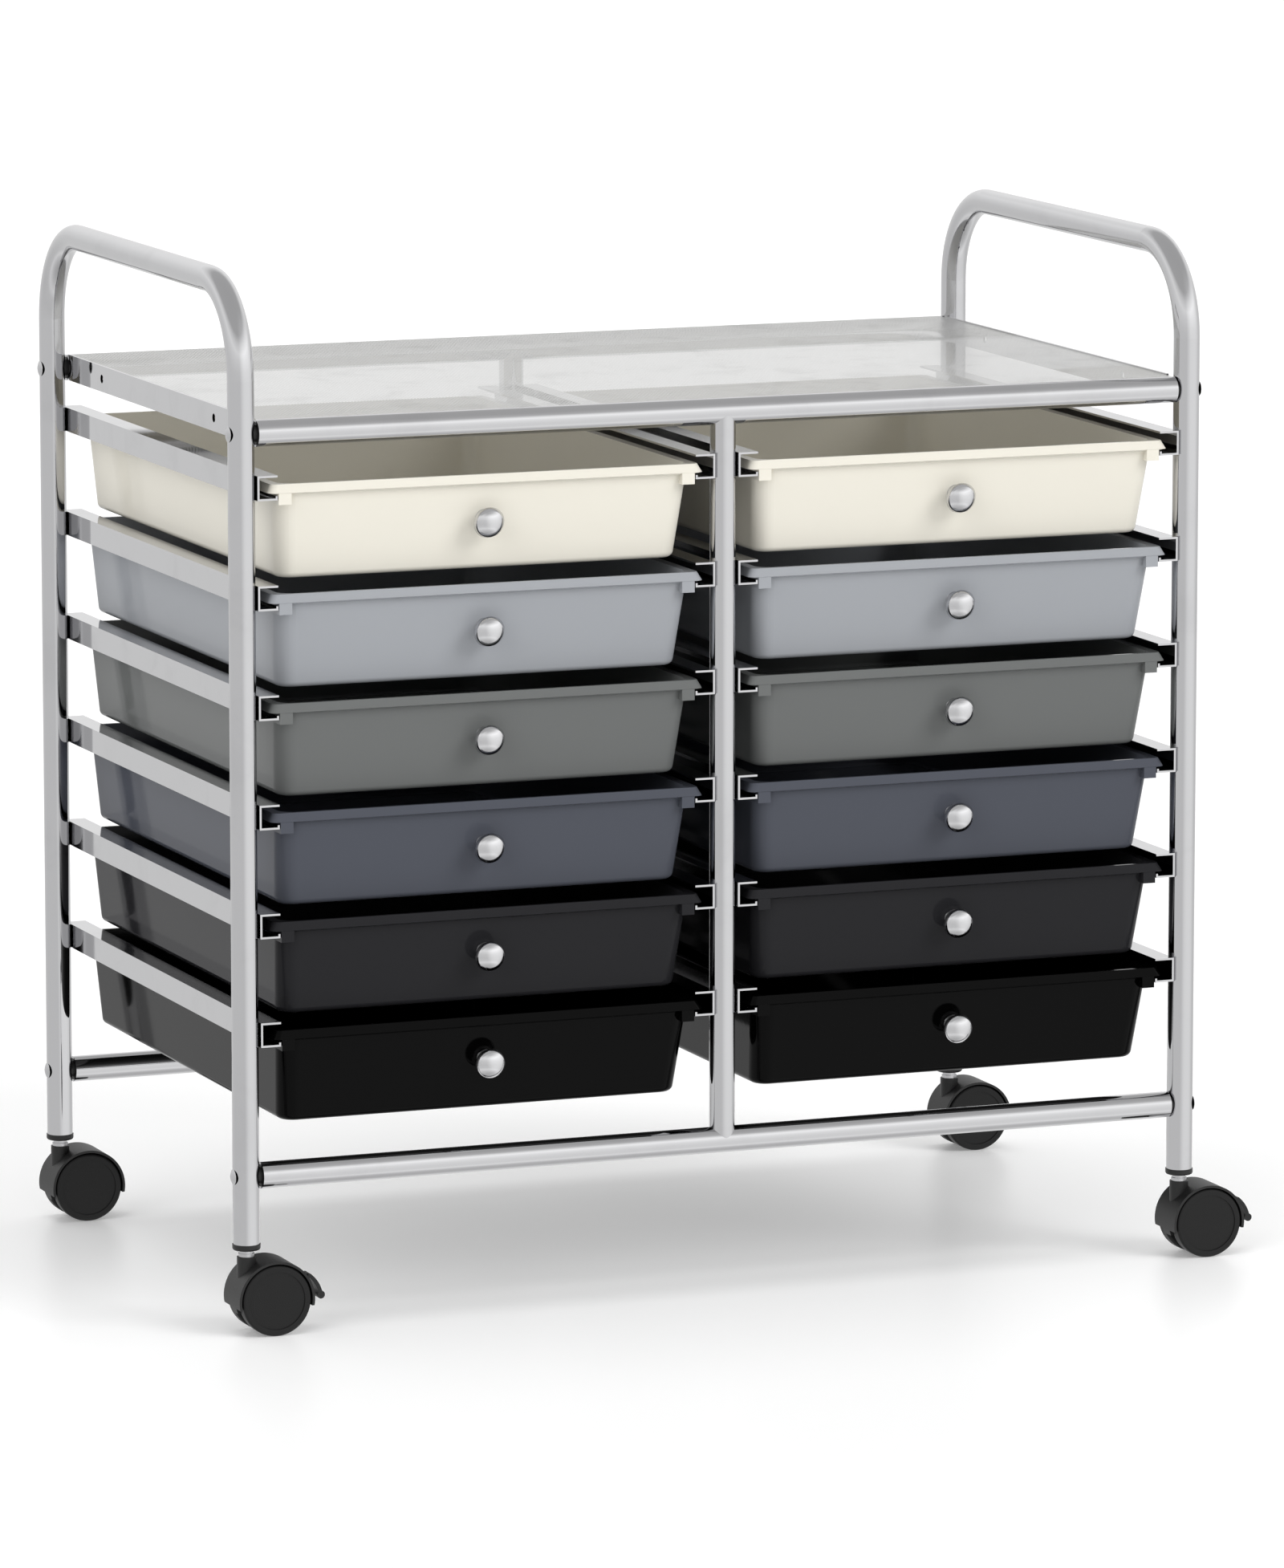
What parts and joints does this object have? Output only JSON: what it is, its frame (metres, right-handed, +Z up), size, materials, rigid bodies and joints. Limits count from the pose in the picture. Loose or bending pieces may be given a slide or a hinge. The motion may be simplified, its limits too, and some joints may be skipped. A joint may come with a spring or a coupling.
{
  "type": "rolling drawer cart",
  "caption": "Chrome tube cart on swivel casters with two columns of sliding plastic drawers, knobs, a mesh top shelf and a push handle at each end.",
  "frame": {"origin": "on the floor, midway between the four legs", "axes": "+X to the cart's right along its width, +Y to its rear, +Z up; the drawers open towards -Y"},
  "size_m": [0.6682, 0.3872, 0.635],
  "materials": {
    "chrome_tube": "bright chrome plate",
    "rail_chrome": "chrome plated sheet",
    "bolt_chrome": "chrome plate",
    "knob_chrome": "polished chrome",
    "mesh_wire": "light grey coated wire",
    "zinc": "zinc plate",
    "black_fitting": "black moulded",
    "black_caster": "black moulded",
    "black_wheel": "black moulded",
    "drawer_row_1": "cream moulded plastic, soft gloss",
    "drawer_row_2": "light blue-grey moulded plastic, soft gloss",
    "drawer_row_3": "mid grey moulded plastic, soft gloss",
    "drawer_row_4": "slate blue-grey moulded plastic, soft gloss",
    "drawer_row_5": "charcoal moulded plastic, soft gloss",
    "drawer_row_6": "black moulded plastic, soft gloss"
  },
  "bodies": {
    "cart_frame": {"left_side_frame": "chrome_tube", "right_side_frame": "chrome_tube", "top_front_bar": "chrome_tube", "top_rear_bar": "chrome_tube", "bottom_front_bar": "chrome_tube", "bottom_rear_bar": "chrome_tube", "front_centre_post": "chrome_tube", "rear_centre_post": "chrome_tube", "tube_end_inserts": "black_fitting", "frame_bolts": "bolt_chrome", "shelf_left_bar": "rail_chrome", "shelf_right_bar": "rail_chrome", "shelf_mesh": "mesh_wire", "left_rails": "rail_chrome", "centre_left_rails": "rail_chrome", "centre_right_rails": "rail_chrome", "right_rails": "rail_chrome", "caster_sockets": "black_fitting", "front_left_caster_stem": "zinc", "front_right_caster_stem": "zinc", "rear_left_caster_stem": "zinc", "rear_right_caster_stem": "zinc"},
    "drawer_left_1_body": {"drawer_left_1": "drawer_row_1", "knob_left_1": "knob_chrome"},
    "drawer_left_2_body": {"drawer_left_2": "drawer_row_2", "knob_left_2": "knob_chrome"},
    "drawer_left_3_body": {"drawer_left_3": "drawer_row_3", "knob_left_3": "knob_chrome"},
    "drawer_left_4_body": {"drawer_left_4": "drawer_row_4", "knob_left_4": "knob_chrome"},
    "drawer_left_5_body": {"drawer_left_5": "drawer_row_5", "knob_left_5": "knob_chrome"},
    "drawer_left_6_body": {"drawer_left_6": "drawer_row_6", "knob_left_6": "knob_chrome"},
    "drawer_right_1_body": {"drawer_right_1": "drawer_row_1", "knob_right_1": "knob_chrome"},
    "drawer_right_2_body": {"drawer_right_2": "drawer_row_2", "knob_right_2": "knob_chrome"},
    "drawer_right_3_body": {"drawer_right_3": "drawer_row_3", "knob_right_3": "knob_chrome"},
    "drawer_right_4_body": {"drawer_right_4": "drawer_row_4", "knob_right_4": "knob_chrome"},
    "drawer_right_5_body": {"drawer_right_5": "drawer_row_5", "knob_right_5": "knob_chrome"},
    "drawer_right_6_body": {"drawer_right_6": "drawer_row_6", "knob_right_6": "knob_chrome"},
    "front_left_caster_swivel": {"front_left_caster_hood": "black_caster", "front_left_caster_axle": "zinc"},
    "front_left_caster_roller": {"front_left_caster_wheels": "black_wheel"},
    "front_left_caster_brake": {"front_left_caster_brake_lever": "black_caster"},
    "front_right_caster_swivel": {"front_right_caster_hood": "black_caster", "front_right_caster_axle": "zinc"},
    "front_right_caster_roller": {"front_right_caster_wheels": "black_wheel"},
    "front_right_caster_brake": {"front_right_caster_brake_lever": "black_caster"},
    "rear_left_caster_swivel": {"rear_left_caster_hood": "black_caster", "rear_left_caster_axle": "zinc"},
    "rear_left_caster_roller": {"rear_left_caster_wheels": "black_wheel"},
    "rear_right_caster_swivel": {"rear_right_caster_hood": "black_caster", "rear_right_caster_axle": "zinc"},
    "rear_right_caster_roller": {"rear_right_caster_wheels": "black_wheel"}
  },
  "joints": [
    {"name": "drawer_left_1_slide", "type": "slide", "parent": "cart_frame", "child": "drawer_left_1_body", "axis": [0, -1, 0], "range_m": [0, 0.28]},
    {"name": "drawer_left_2_slide", "type": "slide", "parent": "cart_frame", "child": "drawer_left_2_body", "axis": [0, -1, 0], "range_m": [0, 0.28]},
    {"name": "drawer_left_3_slide", "type": "slide", "parent": "cart_frame", "child": "drawer_left_3_body", "axis": [0, -1, 0], "range_m": [0, 0.28]},
    {"name": "drawer_left_4_slide", "type": "slide", "parent": "cart_frame", "child": "drawer_left_4_body", "axis": [0, -1, 0], "range_m": [0, 0.28]},
    {"name": "drawer_left_5_slide", "type": "slide", "parent": "cart_frame", "child": "drawer_left_5_body", "axis": [0, -1, 0], "range_m": [0, 0.28]},
    {"name": "drawer_left_6_slide", "type": "slide", "parent": "cart_frame", "child": "drawer_left_6_body", "axis": [0, -1, 0], "range_m": [0, 0.28]},
    {"name": "drawer_right_1_slide", "type": "slide", "parent": "cart_frame", "child": "drawer_right_1_body", "axis": [0, -1, 0], "range_m": [0, 0.28]},
    {"name": "drawer_right_2_slide", "type": "slide", "parent": "cart_frame", "child": "drawer_right_2_body", "axis": [0, -1, 0], "range_m": [0, 0.28]},
    {"name": "drawer_right_3_slide", "type": "slide", "parent": "cart_frame", "child": "drawer_right_3_body", "axis": [0, -1, 0], "range_m": [0, 0.28]},
    {"name": "drawer_right_4_slide", "type": "slide", "parent": "cart_frame", "child": "drawer_right_4_body", "axis": [0, -1, 0], "range_m": [0, 0.28]},
    {"name": "drawer_right_5_slide", "type": "slide", "parent": "cart_frame", "child": "drawer_right_5_body", "axis": [0, -1, 0], "range_m": [0, 0.28]},
    {"name": "drawer_right_6_slide", "type": "slide", "parent": "cart_frame", "child": "drawer_right_6_body", "axis": [0, -1, 0], "range_m": [0, 0.28]},
    {"name": "front_left_caster_turn", "type": "hinge", "parent": "cart_frame", "child": "front_left_caster_swivel", "pos_m": [-0.3055, -0.179, 0.04], "axis": [0, 0, 1], "continuous": true},
    {"name": "front_left_caster_roll", "type": "hinge", "parent": "front_left_caster_swivel", "child": "front_left_caster_roller", "pos_m": [-0.2912, -0.179, 0.0215], "axis": [0, 1, 0], "continuous": true},
    {"name": "front_left_caster_brake_press", "type": "hinge", "parent": "front_left_caster_swivel", "child": "front_left_caster_brake", "pos_m": [-0.27918, -0.179, 0.03352], "axis": [0, 1, 0], "range_deg": [0, 12]},
    {"name": "front_right_caster_turn", "type": "hinge", "parent": "cart_frame", "child": "front_right_caster_swivel", "pos_m": [0.3055, -0.179, 0.04], "axis": [0, 0, 1], "continuous": true},
    {"name": "front_right_caster_roll", "type": "hinge", "parent": "front_right_caster_swivel", "child": "front_right_caster_roller", "pos_m": [0.3198, -0.179, 0.0215], "axis": [0, 1, 0], "continuous": true},
    {"name": "front_right_caster_brake_press", "type": "hinge", "parent": "front_right_caster_swivel", "child": "front_right_caster_brake", "pos_m": [0.33182, -0.179, 0.03352], "axis": [0, 1, 0], "range_deg": [0, 12]},
    {"name": "rear_left_caster_turn", "type": "hinge", "parent": "cart_frame", "child": "rear_left_caster_swivel", "pos_m": [-0.3055, 0.179, 0.04], "axis": [0, 0, 1], "continuous": true},
    {"name": "rear_left_caster_roll", "type": "hinge", "parent": "rear_left_caster_swivel", "child": "rear_left_caster_roller", "pos_m": [-0.2912, 0.179, 0.0215], "axis": [0, 1, 0], "continuous": true},
    {"name": "rear_right_caster_turn", "type": "hinge", "parent": "cart_frame", "child": "rear_right_caster_swivel", "pos_m": [0.3055, 0.179, 0.04], "axis": [0, 0, 1], "continuous": true},
    {"name": "rear_right_caster_roll", "type": "hinge", "parent": "rear_right_caster_swivel", "child": "rear_right_caster_roller", "pos_m": [0.3198, 0.179, 0.0215], "axis": [0, 1, 0], "continuous": true}
  ]
}
